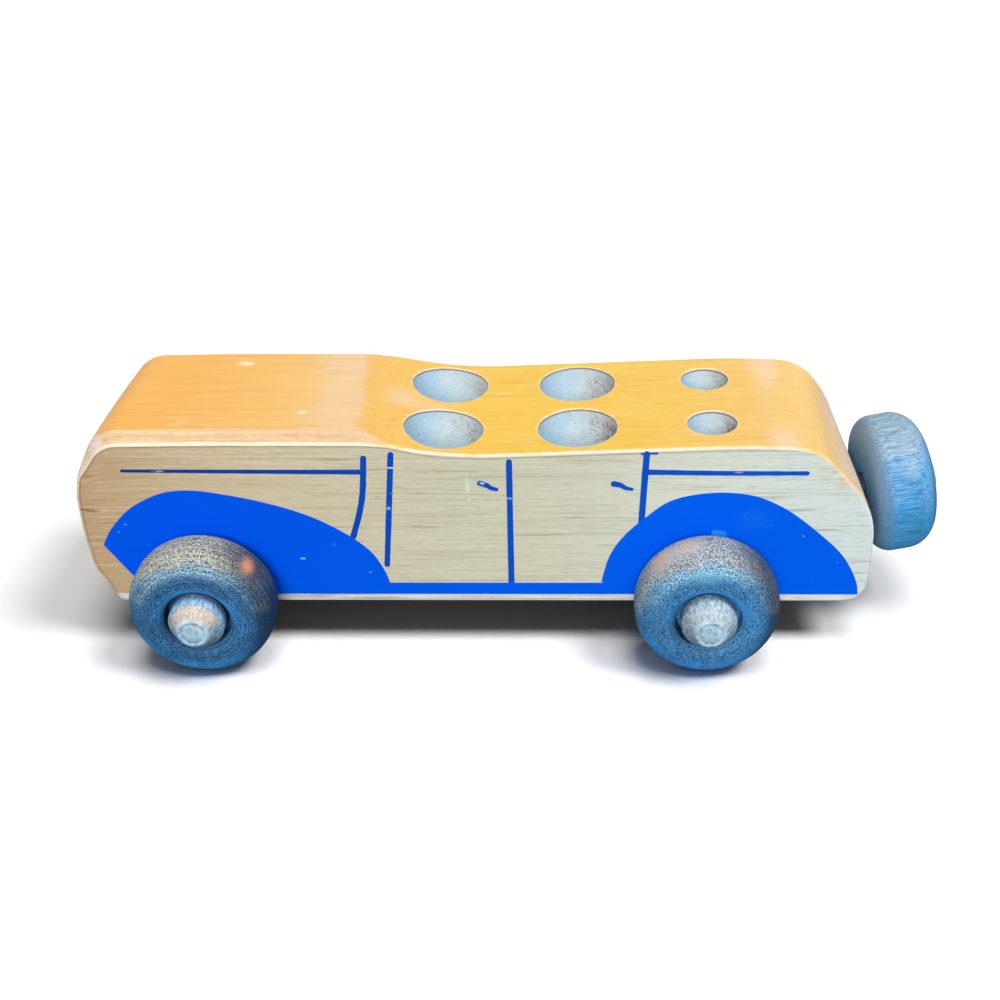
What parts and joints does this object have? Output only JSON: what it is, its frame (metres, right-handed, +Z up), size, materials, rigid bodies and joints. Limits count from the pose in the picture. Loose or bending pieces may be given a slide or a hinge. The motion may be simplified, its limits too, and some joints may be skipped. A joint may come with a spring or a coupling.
{
  "type": "wooden toy car",
  "caption": "Wooden toy car: a shaped hardwood block with drilled seats for peg figures, turned wheels that roll on headed pegs, and a spare wheel on its sloping tail.",
  "frame": {"origin": "middle of the car's footprint on the floor", "axes": "+X from the nose to the tail, +Z up, the car's left side faces -Y"},
  "size_m": [0.2814, 0.1174, 0.0794],
  "materials": {
    "block": "clear-lacquered maple, stained orange over the top, printed blue on the sides",
    "wheel": "blue-grey stained wood, worn, fine turning lines",
    "peg": "bare grey birch, rubbed"
  },
  "bodies": {
    "car_body": {"body_block": "block", "front_left_axle_peg": "peg", "front_right_axle_peg": "peg", "rear_left_axle_peg": "peg", "rear_right_axle_peg": "peg", "spare_wheel_peg": "peg"},
    "front_left_wheel": {"front_left_wheel": "wheel"},
    "front_right_wheel": {"front_right_wheel": "wheel"},
    "rear_left_wheel": {"rear_left_wheel": "wheel"},
    "rear_right_wheel": {"rear_right_wheel": "wheel"},
    "spare_wheel": {"spare_wheel": "wheel"}
  },
  "joints": [
    {"name": "front_left_wheel_spin", "type": "hinge", "parent": "car_body", "child": "front_left_wheel", "pos_m": [-0.1023, -0.04245, 0.02341], "axis": [0, 1, 0], "continuous": true},
    {"name": "front_right_wheel_spin", "type": "hinge", "parent": "car_body", "child": "front_right_wheel", "pos_m": [-0.1023, 0.04245, 0.02341], "axis": [0, 1, 0], "continuous": true},
    {"name": "rear_left_wheel_spin", "type": "hinge", "parent": "car_body", "child": "rear_left_wheel", "pos_m": [0.0603, -0.04245, 0.02341], "axis": [0, 1, 0], "continuous": true},
    {"name": "rear_right_wheel_spin", "type": "hinge", "parent": "car_body", "child": "rear_right_wheel", "pos_m": [0.0603, 0.04245, 0.02341], "axis": [0, 1, 0], "continuous": true},
    {"name": "spare_wheel_spin", "type": "hinge", "parent": "car_body", "child": "spare_wheel", "pos_m": [0.12621, 0.00128, 0.04389], "axis": [0.9853, 0.1036, 0.1357], "continuous": true}
  ]
}
